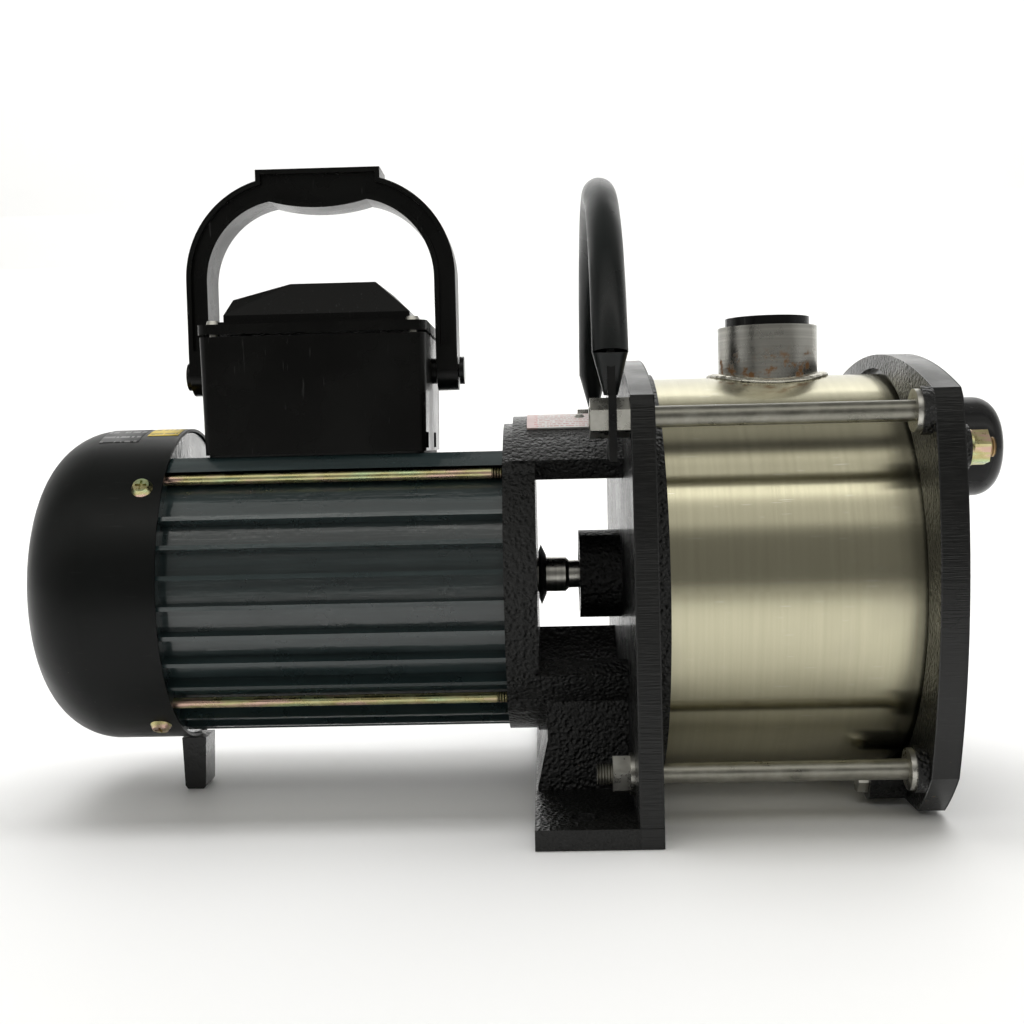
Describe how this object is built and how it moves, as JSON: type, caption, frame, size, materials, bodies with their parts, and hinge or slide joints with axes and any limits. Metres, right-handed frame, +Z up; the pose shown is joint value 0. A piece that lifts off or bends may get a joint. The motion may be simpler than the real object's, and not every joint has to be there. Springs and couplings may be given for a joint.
{
  "type": "shallow well jet pump",
  "caption": "Shallow well jet pump with a finned motor, a lantern bracket, a stainless barrel held by tie rods, a folding carry handle and a lifting hoop",
  "frame": {"origin": "centre of the front foot's underside, on the floor", "axes": "+X along the shaft towards the inlet, +Y to the far side, +Z up"},
  "size_m": [0.4055, 0.21, 0.266],
  "materials": {
    "motor_paint": "glossy slate grey paint on finned aluminium",
    "cover_steel": "satin black stoved sheet steel",
    "foot_steel": "satin black paint",
    "black_casting": "glossy black paint over rough sand casting",
    "front_casting": "glossy black paint over rough sand casting",
    "box_plastic": "fine grained black plastic",
    "handle_plastic": "satin black plastic",
    "plug_plastic": "glossy black plastic",
    "yellow_zinc": "yellow passivated zinc",
    "bright_zinc": "bright zinc plate",
    "stainless": "stainless steel brushed around its length",
    "turned_steel": "turned bright steel",
    "weld_metal": "rippled weld metal",
    "strap_steel": "satin black strap",
    "grip_rubber": "dark grey rubbery sleeve",
    "seal_rubber": "black rubber",
    "label": "white printed label",
    "copper": "varnished copper wire",
    "laminations": "stacked electrical steel",
    "bearing_steel": "ground bearing steel",
    "ceramic": "white ceramic",
    "carbon": "carbon and rubber",
    "hydraulic_plastic": "moulded black plastic",
    "brass_part": "machined brass",
    "white_plastic": "white plastic"
  },
  "bodies": {
    "pump_frame": {"motor_housing": "motor_paint", "rear_end_shield": "motor_paint", "stator_core": "laminations", "stator_winding": "copper", "rear_foot": "foot_steel", "foot_screw": "bright_zinc", "fan_cover": "cover_steel", "fan_cover_screws": "yellow_zinc", "motor_tie_rods": "yellow_zinc", "rear_bearing_outer": "bearing_steel", "front_bearing_outer": "bearing_steel", "wave_washer": "bearing_steel", "terminal_box": "box_plastic", "terminal_lid": "box_plastic", "box_gasket": "seal_rubber", "box_screws": "bright_zinc", "lid_screws": "bright_zinc", "run_capacitor": "white_plastic", "terminal_block": "white_plastic", "cable_gland": "plug_plastic", "handle_pivots": "plug_plastic", "lantern_bracket": "black_casting", "nameplate": "label", "nameplate_rivet": "bright_zinc", "seal_seat": "ceramic", "rear_o_ring": "seal_rubber", "front_o_ring": "seal_rubber", "barrel": "stainless", "outlet_socket": "turned_steel", "weld_bead": "weld_metal", "front_plate": "front_casting", "diffuser": "hydraulic_plastic", "ejector": "hydraulic_plastic", "nozzle": "brass_part", "inlet_flange": "front_casting", "inlet_gasket": "seal_rubber", "inlet_studs": "yellow_zinc", "inlet_nuts": "yellow_zinc", "upper_tie_rods": "bright_zinc", "lower_tie_rods": "bright_zinc", "rod_nuts": "bright_zinc", "jam_nuts": "bright_zinc", "rod_washers": "bright_zinc", "lift_strap": "strap_steel", "lift_grip": "grip_rubber", "drain_plug": "bright_zinc"},
    "rotor": {"shaft": "turned_steel", "rotor_core": "laminations", "cooling_fan": "hydraulic_plastic", "slinger": "seal_rubber", "seal_rotor": "carbon", "seal_spring": "bright_zinc", "impeller": "brass_part", "impeller_nut": "bright_zinc", "rear_bearing_inner": "bearing_steel", "front_bearing_inner": "bearing_steel"},
    "carry_handle": {"carry_handle": "handle_plastic"},
    "outlet_plug": {"outlet_plug": "plug_plastic"},
    "inlet_cap": {"inlet_cap": "plug_plastic"}
  },
  "joints": [
    {"name": "rotor_spin", "type": "hinge", "parent": "pump_frame", "child": "rotor", "pos_m": [0, 0, 0.09], "axis": [1, 0, 0], "continuous": true},
    {"name": "carry_handle_fold", "type": "hinge", "parent": "pump_frame", "child": "carry_handle", "pos_m": [-0.11072, 0, 0.1795], "axis": [1, 0, 0], "range_deg": [-95, 95]},
    {"name": "outlet_plug_pull", "type": "slide", "parent": "pump_frame", "child": "outlet_plug", "axis": [0, 0, 1], "range_m": [0, 0.1]},
    {"name": "inlet_cap_pull", "type": "slide", "parent": "pump_frame", "child": "inlet_cap", "axis": [1, 0, 0], "range_m": [0, 0.1]}
  ]
}
